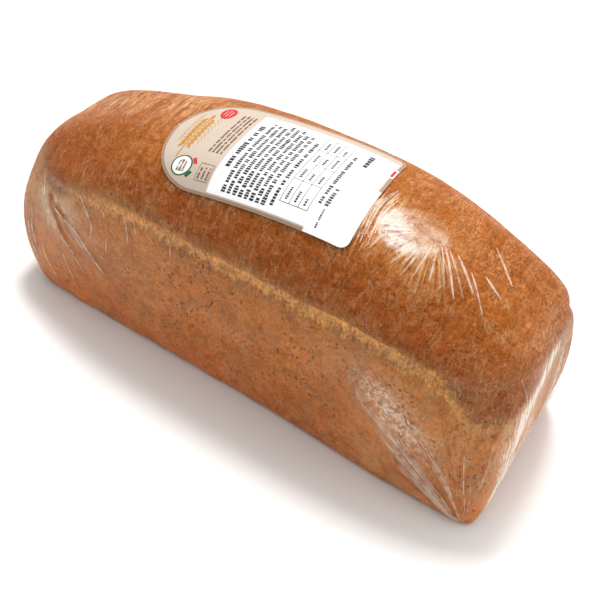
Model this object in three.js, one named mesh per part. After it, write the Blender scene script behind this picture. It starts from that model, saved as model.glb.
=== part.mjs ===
// A tin loaf wrapped tightly in clear film, with one paper label lying on its top crust.
// Millimetres, +Z up. The origin is the middle of the footprint on the table, +X runs along
// the loaf to its fuller end, and -Y is the long side that the label leans towards.
// The loaf and the film round it are one closed solid: the film lies on the crust all over.
import * as THREE from "three";

// The loaf at the top of its tin, where the crust breaks out over the walls
const rimLength = 260;
const rimWidth = 92;
const rimHeight = 82;
const rimDip = { left: 11, right: 7 }; // how far the rim sinks at the corners
const domeRise = 36.4;

// How far the walls lean in at the foot and swell out half way up
const footInset = { left: 2, right: 0, side: 1 };
const swell = { left: 12, right: 3.3, side: 1.5 };

// Roundness in plan: a higher power gives squarer corners
const footPower = 16;
const rimPower = { left: 4.4, right: 4 };

// The dome along the loaf and across it
const domeEndPower = 0.6;
const domeSidePower = 3.06;
const domeLean = 0.19; // share by which the +X half rises above the -X half
const domeShoulderPower = 8;

// The rounded lower edge, and the torn band at the rim with the crust's shoulder over it
const footRadius = 4;
const breakDepth = 1.5;
const breakHalfWidth = 3.4;
const shoulderOut = 2;
const shoulderAbove = 9;
const shoulderHalfWidth = 8;

// Folds of the film that run out of each lower corner like a fan
const foldHeight = 1.5;
const foldHalfWidth = 2;
const foldSpread = 0.035; // how much a fold widens for each millimetre from its corner
const foldStart = 8;
const foldLength = 58;
const sideFoldAngles = [24, 38, 52, 67]; // degrees above the table, on the long sides
const endFoldAngles = [32, 55, 72]; // and on the ends

// The label: arched at one end, square with rounded corners at the other
const labelLength = 100;
const labelWidth = 58;
const labelArch = 25;
const labelCorner = 4;
const labelTurn = THREE.MathUtils.degToRad(4.2);
const labelAlong = -4; // its middle, along the loaf
const labelAcross = -9; // and across the dome from the crest, measured on the crust
const labelThickness = 0.6;
const labelGap = 0.35;
const labelTipHalfWidth = 1.2;

// How finely the surfaces are cut
const columns = 128;
const cornerDensity = 1.6; // extra columns round the corners
const footSteps = 3;
const wallSteps = 18;
const wallCrowding = 1.6; // above 1, the rings of the wall lie closer towards the rim
const domeSteps = 17;
const labelSteps = { along: 28, across: 12 };

const halfLength = rimLength / 2;
const halfWidth = rimWidth / 2;

const mix = (from, to, share) => from + (to - from) * share;
const bump = (distance, half) => Math.exp(-((distance / half) ** 2));

// 0 at the -X end of the loaf and 1 at the +X end, with a short change between them
const endShare = (angle) => 0.5 + 0.5 * Math.tanh(6 * Math.cos(angle));

// Reach of a superellipse of half axes 1 in a direction
function reachOf(angle, power) {
  const c = Math.abs(Math.cos(angle)) ** power;
  const s = Math.abs(Math.sin(angle)) ** power;
  return (c + s) ** (-1 / power);
}

// How far the rim sinks in a direction: only near the corners
function rimDipAt(angle) {
  const corner = Math.abs(Math.sin(2 * angle)) ** 10;
  return mix(rimDip.left, rimDip.right, endShare(angle)) * corner;
}

// Half axes and power of the loaf's outline at a share of the wall's height
function outlineAt(angle, share) {
  const end = endShare(angle);
  const belly = 4 * share * (1 - share);
  const inset = mix(footInset.left, footInset.right, end) * (1 - share);
  return {
    along: halfLength - inset + mix(swell.left, swell.right, end) * belly,
    across: halfWidth - footInset.side * (1 - share) + swell.side * belly,
    power: mix(footPower, mix(rimPower.left, rimPower.right, end), share),
  };
}

// A point of the outline in plan, and the direction that faces straight out of it
function planPoint(angle, share) {
  const { along, across, power } = outlineAt(angle, share);
  const reach = reachOf(angle, power);
  const x = along * reach * Math.cos(angle);
  const y = across * reach * Math.sin(angle);
  const out = new THREE.Vector2(
    (Math.sign(x) * Math.abs(x / along) ** (power - 1)) / along,
    (Math.sign(y) * Math.abs(y / across) ** (power - 1)) / across,
  ).normalize();
  return { x, y, out };
}

// Height of the crust at a place in plan
function crustHeight(x, y) {
  const u = x / halfLength;
  const v = y / halfWidth;
  const angle = Math.atan2(v, u);
  const power = mix(rimPower.left, rimPower.right, endShare(angle));
  const reach = (Math.abs(u) ** power + Math.abs(v) ** power) ** (1 / power);
  const alongShape = Math.max(1 - u * u, 0) ** domeEndPower;
  const acrossShape = Math.max(1 - Math.abs(v) ** domeSidePower, 0) ** 0.5;
  const edge = Math.max(1 - reach ** domeShoulderPower, 0) ** 0.5;
  const rise = domeRise * alongShape * acrossShape * (1 + domeLean * u) * edge;
  return rimHeight + rise - rimDipAt(angle) * reach ** 3;
}

// The torn band's groove and the shoulder of crust that overhangs it
function breakRelief(angle, height) {
  const above = height - (rimHeight - rimDipAt(angle));
  return (
    shoulderOut * bump(above - shoulderAbove, shoulderHalfWidth) -
    breakDepth * bump(above, breakHalfWidth)
  );
}

// Height of the film's folds at a distance from a lower corner and above the table
function fanRelief(distance, height, angles) {
  const radius = Math.hypot(distance, height);
  const along = (radius - foldStart) / (foldLength - foldStart);
  if (along <= 0 || along >= 1) return 0;
  const fade = Math.sin(Math.PI * Math.sqrt(along));
  const half = foldHalfWidth + foldSpread * radius;
  const direction = Math.atan2(height, distance);
  return angles.reduce(
    (sum, degrees) =>
      sum +
      foldHeight *
        fade *
        bump((direction - THREE.MathUtils.degToRad(degrees)) * radius, half),
    0,
  );
}

// The folds of all four corners: the long sides and the ends have fans of their own
function foldRelief(x, y, out, height) {
  const fromEnd = halfLength - Math.abs(x);
  const fromSide = halfWidth - Math.abs(y);
  return (
    Math.abs(out.y) * fanRelief(Math.max(fromEnd, 0), height, sideFoldAngles) +
    Math.abs(out.x) * fanRelief(Math.max(fromSide, 0), height, endFoldAngles)
  );
}

// A point of the wall, with its lower edge rounded and its relief added
function wallPoint(angle, height) {
  const share = height / (rimHeight - rimDipAt(angle));
  const { x, y, out } = planPoint(angle, share);
  const under = Math.max(footRadius - height, 0);
  const inset = footRadius - Math.sqrt(footRadius ** 2 - under ** 2);
  const relief = breakRelief(angle, height) + foldRelief(x, y, out, height);
  return [x + out.x * (relief - inset), y + out.y * (relief - inset), height];
}

// A point of the dome: reach is 1 at the rim and 0 at the crown
function domePoint(angle, reach) {
  const { x, y, out } = planPoint(angle, 1);
  const height = crustHeight(x * reach, y * reach);
  const relief = breakRelief(angle, height) * reach ** 4;
  return [x * reach + out.x * relief, y * reach + out.y * relief, height];
}

// Directions of the columns: evenly spaced round the rim, and closer at its corners
function columnAngles() {
  const fine = 7200;
  const travelled = [0];
  let before = planPoint(0, 1);
  for (let i = 1; i <= fine; i++) {
    const here = planPoint((2 * Math.PI * i) / fine, 1);
    const step = Math.hypot(here.x - before.x, here.y - before.y);
    const turn = Math.abs(here.out.x * here.out.y) * 2;
    travelled.push(travelled[i - 1] + step * (1 + cornerDensity * turn));
    before = here;
  }
  const angles = [];
  let i = 0;
  for (let column = 0; column <= columns; column++) {
    const wanted = (travelled[fine] * column) / columns;
    while (i < fine - 1 && travelled[i + 1] < wanted) i++;
    const share = (wanted - travelled[i]) / (travelled[i + 1] - travelled[i]);
    angles.push((2 * Math.PI * (i + share)) / fine);
  }
  return angles;
}

// The rings of the skin from the crown down to the foot, each as a function of the direction
function skinRings() {
  const rings = [];
  for (let i = 1; i <= domeSteps; i++) {
    const reach = Math.sin((0.5 * Math.PI * i) / domeSteps);
    rings.push((angle) => domePoint(angle, reach));
  }
  for (let i = 1; i <= wallSteps; i++) {
    const down = (i / wallSteps) ** wallCrowding;
    rings.push((angle) => {
      const rim = rimHeight - rimDipAt(angle);
      return wallPoint(angle, mix(rim, footRadius, down));
    });
  }
  for (let i = 1; i <= footSteps; i++) {
    const height = footRadius * (1 - Math.sin((0.5 * Math.PI * i) / footSteps));
    rings.push((angle) => wallPoint(angle, height));
  }
  return rings;
}

// A sphere's net of rings and columns, drawn over the loaf: its poles are crown and base middle
function wrappedLoafGeometry() {
  const rings = skinRings();
  const angles = columnAngles();
  const geometry = new THREE.SphereGeometry(1, columns, rings.length + 1);
  const place = geometry.getAttribute("position");
  for (let k = 0; k < place.count; k++) {
    const ring = Math.floor(k / (columns + 1));
    const column = k % (columns + 1);
    if (ring === 0) place.setXYZ(k, ...domePoint(0, 0));
    else if (ring > rings.length) place.setXYZ(k, 0, 0, 0);
    else place.setXYZ(k, ...rings[ring - 1](angles[column % columns]));
  }
  geometry.computeVertexNormals();
  return geometry;
}

// The crust's surface over a place in plan
const crustPoint = (x, y) => new THREE.Vector3(x, y, crustHeight(x, y));

// The direction that faces straight out of the crust there
function crustNormal(x, y) {
  const step = 0.5;
  const alongX = crustPoint(x + step, y).sub(crustPoint(x - step, y));
  const alongY = crustPoint(x, y + step).sub(crustPoint(x, y - step));
  return alongX.cross(alongY).normalize();
}

// Walks from the crest across the dome until the distance on the crust is used up
function walkAcross(x, distance) {
  const steps = 60;
  const stride = Math.abs(distance) / steps;
  let y = 0;
  for (let i = 0; i < steps; i++) {
    const normal = crustNormal(x, y);
    const rise = Math.hypot(normal.y, normal.z);
    y += (Math.sign(distance) * stride * normal.z) / rise;
  }
  return y;
}

// Half the label's width at a place along it
function labelHalfWidth(along) {
  const intoArch = (along + labelLength / 2) / labelArch;
  if (intoArch < 1) {
    const round = Math.sqrt(Math.max(1 - (1 - intoArch) ** 2, 0));
    return mix(labelTipHalfWidth, labelWidth / 2, round);
  }
  const pastCorner = Math.max(along - (labelLength / 2 - labelCorner), 0);
  const drop = labelCorner - Math.sqrt(labelCorner ** 2 - pastCorner ** 2);
  return labelWidth / 2 - drop;
}

// Places along the label, from 0 at the arch's tip to 1 at the square end, closer at both ends
const labelStation = (share) =>
  labelLength * (0.5 - 0.5 * Math.cos(Math.PI * share)) - labelLength / 2;

// A flat place on the label, laid on the crust at a height above it
function layOnCrust(along, across, lift) {
  const cos = Math.cos(labelTurn);
  const sin = Math.sin(labelTurn);
  const x = labelAlong + along * cos - across * sin;
  const y = walkAcross(x, labelAcross + along * sin + across * cos);
  return crustPoint(x, y).addScaledVector(crustNormal(x, y), lift);
}

// A thin box whose net is drawn to the label's outline and bent over the dome
function labelGeometry() {
  const { along, across } = labelSteps;
  const geometry = new THREE.BoxGeometry(1, 2, 1, along, across, 1);
  const place = geometry.getAttribute("position");
  for (let k = 0; k < place.count; k++) {
    const u = labelStation(place.getX(k) + 0.5);
    const v = place.getY(k) * labelHalfWidth(u);
    const lift = labelGap + labelThickness * (place.getZ(k) + 0.5);
    place.setXYZ(k, ...layOnCrust(u, v, lift));
  }
  geometry.computeVertexNormals();
  return geometry;
}

const crustUnderFilm = new THREE.MeshStandardMaterial({
  color: 0xb9733a,
  roughness: 0.28,
  metalness: 0,
});
const labelPaper = new THREE.MeshStandardMaterial({
  color: 0xf4f1ea,
  roughness: 0.6,
  metalness: 0,
});

function namedMesh(name, geometry, material) {
  const mesh = new THREE.Mesh(geometry, material);
  mesh.name = name;
  return mesh;
}

const wrappedLoaf = namedMesh(
  "wrapped_loaf",
  wrappedLoafGeometry(),
  crustUnderFilm,
);
const label = namedMesh("label", labelGeometry(), labelPaper);

// The loaf is longer to one side of the rim's middle, so all of it moves to centre its footprint
const loaf = new THREE.Group();
loaf.add(wrappedLoaf, label);
const middle = new THREE.Box3()
  .setFromObject(wrappedLoaf)
  .getCenter(new THREE.Vector3());
loaf.position.set(-middle.x, -middle.y, 0);

export default loaf;
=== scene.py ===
# A tin loaf in clear film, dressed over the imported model: the browned crust with its torn band,
# the film with its folds and creases, and the paper label with a plain print of its own.
# Metres throughout, in the frame's axes: +X runs to the loaf's fuller end and -Y is the near side.
# Where a place is given in millimetres, it is measured from the middle of the loaf's rim.
import math
import random

import bpy
import numpy as np
from mathutils import Matrix, Vector, noise
from mathutils.bvhtree import BVHTree


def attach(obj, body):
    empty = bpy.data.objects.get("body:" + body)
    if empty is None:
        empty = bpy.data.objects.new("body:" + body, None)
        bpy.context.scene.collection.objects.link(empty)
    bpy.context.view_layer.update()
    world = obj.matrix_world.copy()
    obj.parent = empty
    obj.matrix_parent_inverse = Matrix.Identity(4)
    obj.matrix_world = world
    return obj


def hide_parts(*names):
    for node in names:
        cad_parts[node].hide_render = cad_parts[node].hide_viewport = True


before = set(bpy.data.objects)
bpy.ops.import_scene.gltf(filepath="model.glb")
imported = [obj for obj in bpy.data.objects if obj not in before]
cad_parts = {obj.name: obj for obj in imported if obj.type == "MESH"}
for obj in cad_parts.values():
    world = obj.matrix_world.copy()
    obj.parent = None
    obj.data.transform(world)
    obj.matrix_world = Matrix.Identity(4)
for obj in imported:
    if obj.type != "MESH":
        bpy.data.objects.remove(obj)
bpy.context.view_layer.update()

MM = 0.001
OUTSIDE = 0.3  # a distance from which to look at the loaf from above or from an end
BESIDE = 0.2  # the same from a long side
loaf_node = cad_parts["wrapped_loaf"]

# The loaf's rim, where the crust breaks out over the tin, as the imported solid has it
RIM_MIDDLE = 3.67 * MM  # along the loaf from the middle of its footprint
RIM_HEIGHT = 82 * MM
RIM_DIP_LEFT = 11 * MM
RIM_DIP_RIGHT = 7 * MM
HALF_LENGTH = 130 * MM
HALF_WIDTH = 46 * MM

# The solid's own folds at its lower corners, which the bread under the film doesn't have
SIDE_FOLD_ANGLES = (24, 38, 52, 67)
END_FOLD_ANGLES = (32, 55, 72)
FOLD_START = 8 * MM
FOLD_LENGTH = 58 * MM
FOLD_HEIGHT = 1.5 * MM

# The foot: its edge is squarer than the solid's, and the near side swells towards the right
FOOT_RADIUS = 4 * MM
FOOT_SQUARED = 0.75
SWELL_ALONG = 85 * MM
SWELL_DEPTH = 2.2 * MM

# Each lower corner as right or left and far or near, and how far it is drawn out to a point
CORNER_REACHES = (
    (1, -1, 4.5 * MM), (1, 1, 2 * MM), (-1, -1, 1.5 * MM), (-1, 1, 2 * MM),
)
CORNER_FADE = 13 * MM

# How deep the bread lies under the film, and the least that it may
FILM_GAP = 0.7 * MM
LEAST_GAP = 0.2 * MM


# Small tools for working on meshes

def select_only(piece):
    """Leaves one object selected and active."""
    bpy.ops.object.select_all(action="DESELECT")
    piece.select_set(True)
    bpy.context.view_layer.objects.active = piece


def open_mesh(piece):
    """Opens a mesh for editing, with all of it selected."""
    select_only(piece)
    bpy.ops.object.mode_set(mode="EDIT")
    bpy.ops.mesh.select_all(action="SELECT")


def close_mesh():
    """Ends the editing of a mesh."""
    bpy.ops.object.mode_set(mode="OBJECT")


def points_of(piece):
    """All vertices of a mesh as rows of x, y, z."""
    rows = np.empty(len(piece.data.vertices) * 3)
    piece.data.vertices.foreach_get("co", rows)
    return rows.reshape(-1, 3)


def normals_of(piece):
    """The direction that faces out at each vertex."""
    rows = np.empty(len(piece.data.vertices) * 3)
    piece.data.vertex_normals.foreach_get("vector", rows)
    return rows.reshape(-1, 3)


def move_points(piece, rows):
    """Puts the vertices at new places."""
    piece.data.vertices.foreach_set("co", rows.ravel())
    piece.data.update()


def keep_value(piece, name, values):
    """Keeps a number at each vertex for the material to read."""
    attribute = piece.data.attributes.new(name, "FLOAT", "POINT")
    attribute.data.foreach_set("value", values.astype(np.float32))


def copy_piece(piece, name):
    """A copy with a mesh of its own."""
    twin = bpy.data.objects.new(name, piece.data.copy())
    bpy.context.scene.collection.objects.link(twin)
    return twin


def finish_modifier(piece, kind, **settings):
    """Adds a modifier and applies it."""
    select_only(piece)
    modifier = piece.modifiers.new(kind.title(), kind)
    for name, value in settings.items():
        setattr(modifier, name, value)
    bpy.ops.object.modifier_apply(modifier=modifier.name)


def shade_smooth(piece):
    """Smooth shading all over."""
    select_only(piece)
    bpy.ops.object.shade_smooth()


def bump(distance, half):
    """A soft hump: 1 at distance 0, fading over half."""
    return np.exp(-((distance / half) ** 2))


def smooth_step(values, start, end):
    """0 before start, 1 after end, and soft in between."""
    share = np.clip((values - start) / (end - start), 0, 1)
    return share * share * (3 - 2 * share)


def unevenness(places, size, seed, stretch=(1, 1, 1)):
    """Smooth noise from -1 to 1 whose lumps are about size wide, stretched along some axes."""
    scaled = places / (size * np.array(stretch)) + seed * 7.31
    return np.array([noise.noise(row) for row in scaled.tolist()])


def level_directions(facing):
    """How level each direction is, from 0 to 1, and its level part as a unit vector."""
    level = np.hypot(facing[:, 0], facing[:, 1])
    return level, facing[:, :2] / np.maximum(level, 1e-9)[:, None]


# The loaf's form, shared by the crust and the film

def height_above_rim(rows):
    """Height of each vertex above the rim line, which dips at the corners as the solid's does."""
    along = (rows[:, 0] - RIM_MIDDLE) / HALF_LENGTH
    angle = np.arctan2(rows[:, 1] / HALF_WIDTH, along)
    right_share = 0.5 + 0.5 * np.tanh(6 * np.cos(angle))
    corner_dip = RIM_DIP_LEFT + (RIM_DIP_RIGHT - RIM_DIP_LEFT) * right_share
    return rows[:, 2] - (RIM_HEIGHT - corner_dip * np.abs(np.sin(2 * angle)) ** 10)


def fan_relief(from_corner, height, angles):
    """Height of a corner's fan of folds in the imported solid."""
    radius = np.hypot(from_corner, height)
    along = np.clip((radius - FOLD_START) / (FOLD_LENGTH - FOLD_START), 0, 1)
    fade = np.sin(np.pi * np.sqrt(along))
    direction = np.arctan2(height, np.maximum(from_corner, 1e-9))
    total = np.zeros(len(radius))
    for degrees in angles:
        total += bump((direction - math.radians(degrees)) * radius, 2 * MM + 0.035 * radius)
    return FOLD_HEIGHT * fade * total


def build_plain_form():
    """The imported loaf's surface as a smooth mesh of quads, with the corner folds taken back."""
    form = copy_piece(loaf_node, "plain_form")
    form.data.materials.clear()
    open_mesh(form)
    bpy.ops.mesh.remove_doubles(threshold=0.001 * MM)
    bpy.ops.mesh.tris_convert_to_quads(face_threshold=math.pi, shape_threshold=math.pi)
    close_mesh()
    rows = points_of(form)
    level, out = level_directions(normals_of(form))
    from_end = np.maximum(HALF_LENGTH - np.abs(rows[:, 0] - RIM_MIDDLE), 0)
    from_side = np.maximum(HALF_WIDTH - np.abs(rows[:, 1]), 0)
    folds = np.abs(out[:, 1]) * fan_relief(from_end, rows[:, 2], SIDE_FOLD_ANGLES)
    folds += np.abs(out[:, 0]) * fan_relief(from_side, rows[:, 2], END_FOLD_ANGLES)
    folds *= rows[:, 2] > 0.5 * MM
    rows[:, :2] -= out * (folds * smooth_step(level, 0.3, 0.7))[:, None]
    move_points(form, rows)
    finish_modifier(form, "SUBSURF", levels=2, render_levels=2)
    fill_out_foot(form)
    shade_smooth(form)
    return form


def fill_out_foot(form):
    """Squares the lower edge, swells the near foot towards the right, and points the corners."""
    rows = points_of(form)
    facing = normals_of(form)
    level, out = level_directions(facing)
    edge = smooth_step(level, 0.02, 0.2)
    under = np.clip(FOOT_RADIUS - rows[:, 2], 0, FOOT_RADIUS)
    inset = FOOT_RADIUS - np.sqrt(FOOT_RADIUS**2 - under**2)
    rows[:, :2] += out * (FOOT_SQUARED * inset * edge)[:, None]
    low = bump(rows[:, 2], 20 * MM) * edge
    near = smooth_step(-facing[:, 1], 0.0, 0.3)
    swell = bump(rows[:, 0] - RIM_MIDDLE - SWELL_ALONG, 38 * MM)
    rows[:, 1] -= SWELL_DEPTH * low * near * swell
    for right, far, reach in CORNER_REACHES:
        corner = np.array([right * HALF_LENGTH + RIM_MIDDLE, far * HALF_WIDTH, 0])
        pull = reach * np.exp(-np.linalg.norm(rows - corner, axis=1) / CORNER_FADE) * edge
        rows[:, 0] += right * 0.7 * pull
        rows[:, 1] += far * 0.7 * pull
    move_points(form, rows)


# The bread

def build_bread_crust(form):
    """The loaf itself, a little inside the film: a torn band, lumps, and a scalloped foot."""
    bread = copy_piece(form, "bread_crust")
    rows = points_of(bread)
    facing = normals_of(bread)
    above_rim = height_above_rim(rows)
    along = (rows[:, 0] - RIM_MIDDLE) / MM
    on_side = smooth_step(np.abs(facing[:, 1]), 0.25, 0.6)
    brown_reach = 14 * smooth_step(along, 92, 122) + 12 * smooth_step(-along, 84, 116)
    keep_value(bread, "above_rim", above_rim / MM + brown_reach)
    torn = smooth_step(along, -105, -72) * smooth_step(-along, -118, -100) * on_side
    keep_value(bread, "torn", 0.08 + 0.92 * torn)
    wander = 2.2 * MM * unevenness(rows, 22 * MM, 1)
    tear = bump(above_rim + wander, 2.6 * MM)
    strands = unevenness(rows, 2.2 * MM, 2, stretch=(1, 1, 3))
    depth = FILM_GAP * np.ones(len(rows))
    depth += tear * (0.2 + 0.8 * torn) * (1.0 * MM + 0.45 * MM * strands)
    depth -= 0.5 * MM * unevenness(rows, 26 * MM, 3)
    depth -= 0.16 * MM * unevenness(rows, 7 * MM, 4)
    near_foot = bump(rows[:, 2], 8 * MM)
    scallops = unevenness(rows, 9 * MM, 5, stretch=(1, 1, 5))
    depth += near_foot * (0.7 * MM * scallops - 0.4 * MM)
    rows -= facing * np.maximum(depth, LEAST_GAP)[:, None]
    rows[:, 2] = np.maximum(rows[:, 2], 0.15 * MM)
    move_points(bread, rows)
    return bread


# The film's folds on the long sides. Each one is a chain of places, given as millimetres along the
# loaf and above the table, then its height and its half width

LEFT_PLEATS = (
    (((-106, 63), (-98, 60), (-90, 56), (-80, 44), (-71, 33)), 1.3, 1.7),
    (((-106, 60), (-101, 47), (-96, 42), (-90, 30)), 0.8, 1.6),
    (((-97, 60), (-92, 54), (-86, 46)), 0.7, 1.3),
    (((-86, 79), (-83, 75), (-79, 68), (-79, 62), (-81, 56)), 0.9, 1.5),
    (((-116, 72), (-112, 62), (-108, 54)), 0.6, 1.6),
    (((-103, 36), (-101, 27), (-98, 18)), 0.6, 1.5),
    (((-57, 82), (-56, 73), (-56, 66)), 0.6, 1.2),
    (((-52, 85), (-51, 79), (-51, 74)), 0.5, 1.2),
    (((-32, 84), (-31, 77), (-31, 70)), 0.5, 1.2),
    (((-72, 84), (-71, 79), (-70, 74)), 0.5, 1.2),
    (((-70, 62), (-71, 53)), 0.4, 1.2),
    (((-122, 52), (-124, 40), (-123, 28)), 0.7, 1.4),
    (((-127, 44), (-127, 32), (-124, 16)), 0.7, 1.4),
    (((-118, 34), (-117, 24), (-112, 12)), 0.5, 1.2),
)
RIGHT_PLEATS = (
    (((63, 58), (73, 46), (90, 33), (108, 18), (124, 3)), 0.9, 1.5),
    (((80, 43), (94, 32), (110, 18), (125, 3)), 0.8, 1.4),
    (((79, 36), (93, 26), (110, 14), (124, 2)), 0.9, 1.5),
    (((85, 30), (98, 21), (113, 10), (124, 2)), 0.7, 1.4),
    (((88, 23), (102, 15), (116, 6), (124, 1)), 0.7, 1.4),
    (((92, 50), (105, 36), (117, 20), (125, 5)), 0.6, 1.4),
    (((108, 34), (115, 25), (124, 7)), 0.45, 0.9),
    (((118, 46), (121, 31), (126, 10)), 0.45, 0.9),
    (((124, 30), (126, 20), (127, 6)), 0.4, 0.8),
    (((112, 26), (119, 15), (125, 4)), 0.4, 0.8),
    (((127, 54), (128, 38), (128, 18)), 0.4, 0.9),
)
SIDE_PLEATS = LEFT_PLEATS + RIGHT_PLEATS

# The right pleats that have finer ones beside them, and how far off those lie
BUNDLED_PLEATS = RIGHT_PLEATS[:6]
BUNDLE_SHIFTS = (-1.8, 1.3)

# A pleat's own height and half width, as shares of the fold that it lies on
MAIN_PLEAT = (0.65, 0.23)
FINE_PLEAT = (0.35, 0.13)

# Creases on the dome, each from one place in plan to another: the star round the patch of painted
# glare, and the ones that run along the label's square end
STAR_PLEATS = (
    ((70, -17), (65, -28)), ((72, -16), (69, -26)), ((73, -15), (71, -28)), ((75, -14), (75, -26)),
    ((77, -13), (81, -25)), ((78, -11), (87, -24)), ((79, -10), (92, -25)), ((81, -10), (95, -23)),
    ((84, -9), (97, -19)), ((92, -12), (104, -23)), ((97, -9), (106, -12)), ((94, 7), (107, -3)),
)
LABEL_END_PLEATS = (
    ((47, -5), (46, -16), (48, -28)), ((48, -2), (47, -14), (49, -27)),
    ((49, 1), (48, -12), (51, -28)), ((50, 3), (49, -10), (51, -24)),
    ((51, 2), (51, -12), (54, -27)), ((53, -2), (52, -12), (54, -22)), ((57, -20), (55, -28)),
)
END_PLEAT_COUNT = 20

# A pleat's section: place across it as a share of its half width, and height as a share of its own
PLEAT_SECTION = (
    (-1.0, -0.10), (-0.55, 0.22), (-0.2, 0.80), (0.0, 1.0), (0.10, 0.62), (0.32, 0.16), (0.8, -0.10)
)
PLEAT_STEP = 1.2 * MM

# The middle of the star of creases, in plan
STAR_PLACE = (73, -7)

# Slots in the milky film of the left corner, where the crust shows clear: places and half widths
CLEAR_SLOTS = (
    (((-108, 66), (-104, 58), (-99, 48)), 2.2),
    (((-102, 63), (-98, 60), (-95, 54)), 2.0),
)

# Where the bright strip of film runs on the right end, painted glare over a milky veil: heights with
# the place across at each, and heights with its half width at each
STRIP_HEIGHTS = (0, 45, 64, 76)
STRIP_ACROSS = (-37, -30.5, -22, -3)
STRIP_WIDTH_HEIGHTS = (0, 30, 64)
STRIP_HALF_WIDTHS = (3.5, 5.0, 9.5)

# The lower corners that the creases fan out from
FAN_CORNER = 126


def surface_tree(piece):
    """A search tree over a piece's surface."""
    bpy.context.view_layer.update()
    return BVHTree.FromObject(piece, bpy.context.evaluated_depsgraph_get())


def on_long_side(tree, along, height, side):
    """The place on a long side, with side -1 for the near one, at a distance along and a height."""
    start = Vector((along * MM + RIM_MIDDLE, side * BESIDE, height * MM))
    place = tree.ray_cast(start, Vector((0, -side, 0)))[0]
    if place is None:
        place = tree.find_nearest(Vector((start.x, side * HALF_WIDTH, start.z)))[0]
    return place


def distance_to_chain(rows, chain):
    """Distance of each vertex from a chain of places, and how far along the chain it is."""
    lengths = [0.0]
    for here, there in zip(chain, chain[1:]):
        lengths.append(lengths[-1] + (there - here).length)
    nearest = np.full(len(rows), 1e9)
    travelled = np.zeros(len(rows))
    for i, (here, there) in enumerate(zip(chain, chain[1:])):
        start = np.array(here)
        step = np.array(there) - start
        share = np.clip(((rows - start) @ step) / (step @ step), 0, 1)
        distance = np.linalg.norm(rows - start - share[:, None] * step, axis=1)
        closer = distance < nearest
        nearest = np.where(closer, distance, nearest)
        here_share = (lengths[i] + share * np.linalg.norm(step)) / lengths[-1]
        travelled = np.where(closer, here_share, travelled)
    return nearest, travelled


def build_clear_film(form):
    """The film over the loaf: tight on the crust, bridging the torn band, with folds at its ends."""
    film = copy_piece(form, "clear_film")
    rows = points_of(film)
    facing = normals_of(film)
    above_rim = height_above_rim(rows)
    tree = surface_tree(form)
    lift = 0.9 * MM * bump(above_rim, 3.2 * MM)
    crease_shade = np.zeros(len(rows))
    for side in (-1, 1):
        for route, height, half in SIDE_PLEATS:
            chain = [on_long_side(tree, x, z, side) for x, z in route]
            distance, share = distance_to_chain(rows, chain)
            fade = np.sin(np.pi * np.clip(share * 0.92 + 0.04, 0, 1)) ** 0.5
            ridge = bump(distance, 1.3 * half * MM) * fade
            lift += 0.45 * height * MM * ridge
            crease_shade = np.maximum(crease_shade, 0.5 * height * ridge)
    lift += 0.10 * MM * unevenness(rows, 3.5 * MM, 11, stretch=(1, 5, 5)) * (above_rim > 0)
    lift *= smooth_step(rows[:, 2], 0.5 * MM, 5 * MM)
    rows += facing * lift[:, None]
    move_points(film, rows)
    # A mask of painted shade round each fold, which darkens the film's tint there.
    keep_value(film, "crease_shade", np.clip(crease_shade, 0, 1))
    places = FilmPlaces(rows, facing, above_rim)
    for values in (side_values(places), end_values(places), dome_values(places)):
        for name, numbers in values.items():
            keep_value(film, name, numbers)
    return film


class FilmPlaces:
    """Where each vertex of the film is, in millimetres, and which part of the loaf it covers."""

    def __init__(self, rows, facing, above_rim):
        self.along = (rows[:, 0] - RIM_MIDDLE) / MM
        self.across = rows[:, 1] / MM
        self.height = rows[:, 2] / MM
        self.above = above_rim / MM
        self.on_side = smooth_step(np.abs(facing[:, 1]), 0.35, 0.7)
        self.on_end = smooth_step(np.abs(facing[:, 0]), 0.35, 0.7)
        self.on_right_end = smooth_step(facing[:, 0], 0.35, 0.6)
        self.on_dome = smooth_step(self.above, 2, 8)
        self.below_rim = smooth_step(-self.above, -2, 6)

    def oval(self, along, height, half_length, half_height, slope=0.0):
        """A soft oval on a long side, whose long axis may slope down to the right."""
        east = self.along - along
        up = self.height - height + east * slope
        return bump(np.hypot(east / half_length, up / half_height), 1)


def side_values(at):
    """The long sides: milky film at the left, and crumpled film with a fan of creases at the right."""
    left_haze = smooth_step(-at.along, 25, 85) * at.on_side * at.below_rim
    milk = at.oval(-102, 62, 18, 16) * at.on_side * at.below_rim
    flat_rows = np.column_stack([at.along, np.zeros(len(at.along)), at.height]) * MM
    clear = np.zeros(len(at.along))
    for route, half in CLEAR_SLOTS:
        chain = [Vector((x, 0, z)) * MM for x, z in route]
        slot = bump(distance_to_chain(flat_rows, chain)[0], half * MM)
        left_haze *= 1 - slot
        milk *= 1 - slot
        clear = np.maximum(clear, slot)
    right_haze = at.oval(92, 46, 22, 15) * at.on_side
    end_haze = at.on_end * smooth_step(at.height, 2, 20)
    right = at.along > 0
    from_corner_along = at.along - np.where(right, FAN_CORNER, -FAN_CORNER)
    from_corner = np.hypot(from_corner_along, at.height)
    fan = (1 - smooth_step(from_corner, 40, 95)) * at.on_side
    right_side = smooth_step(at.along, 42, 78) * at.on_side
    return {
        "slot": clear * at.on_side,
        "milk": milk,
        "haze": np.clip(left_haze + 0.4 * right_haze + 0.3 * end_haze, 0, 1),
        "crumple": at.oval(84, 50, 19, 12, slope=0.62) * at.on_side,
        "fibres": right_side * smooth_step(-at.above, -6, 2),
        "side": at.on_side * at.below_rim,
        "fan": np.where(right, fan, 0.45 * fan),
        "fan_angle": np.arctan2(at.height, np.abs(from_corner_along) + 1e-6),
        "fan_reach": from_corner,
        "tear": bump(at.above - 3, 6),
    }


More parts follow.
